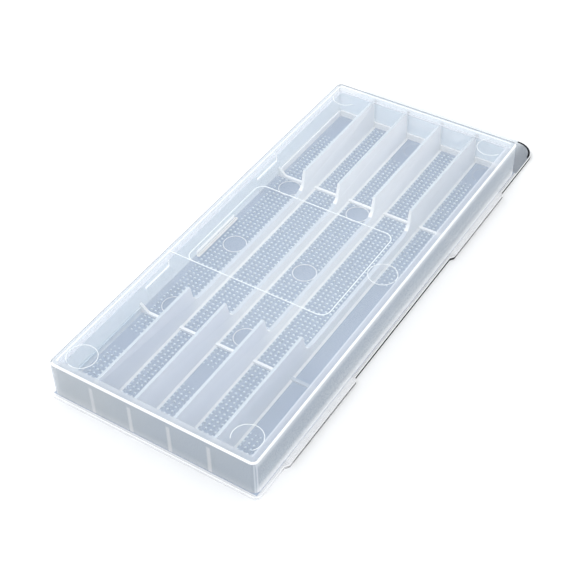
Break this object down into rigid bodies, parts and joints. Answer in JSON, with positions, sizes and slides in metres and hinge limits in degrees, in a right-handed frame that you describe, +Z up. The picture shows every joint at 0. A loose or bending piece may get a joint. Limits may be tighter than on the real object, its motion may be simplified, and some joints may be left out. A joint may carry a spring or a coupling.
{
  "type": "hinged lane storage case",
  "caption": "Flat frosted plastic case with long parallel lanes on a dotted floor, a deep cover hinged on one long side and a hang tab.",
  "frame": {"origin": "on the resting face, under the middle of the closed case, leaving out the hang tab", "axes": "+Y along the case towards the hang tab, +X towards the hinge side, +Z up through the lid"},
  "size_m": [0.0916, 0.2226, 0.0174],
  "materials": {
    "base_tray": "frosted natural polypropylene, satin",
    "dividers": "frosted natural polypropylene, satin",
    "cover": "frosted natural polypropylene, slightly glossy",
    "hinges": "thin flexed polypropylene, satin"
  },
  "bodies": {
    "base": {"base_plate": "base_tray", "rim_near_end": "base_tray", "rim_far_end": "base_tray", "rim_hinge_side": "base_tray", "rim_latch_side_near": "base_tray", "rim_latch_side_far": "base_tray", "divider_1": "dividers", "divider_2": "dividers", "divider_3": "dividers", "divider_4": "dividers", "cross_rib_near": "base_tray", "cross_rib_far": "base_tray", "snap_arm_near": "base_tray", "snap_arm_far": "base_tray", "hinge_web_near": "hinges", "hinge_web_far": "hinges"},
    "cover": {"cover_shell": "cover", "hinge_leaf_near": "hinges", "hinge_leaf_far": "hinges", "latch_tongue": "cover"}
  },
  "joints": [
    {"name": "cover_hinge", "type": "hinge", "parent": "base", "child": "cover", "pos_m": [0.0465, 0, 0.00155], "axis": [0, 1, 0], "range_deg": [0, 105]}
  ]
}
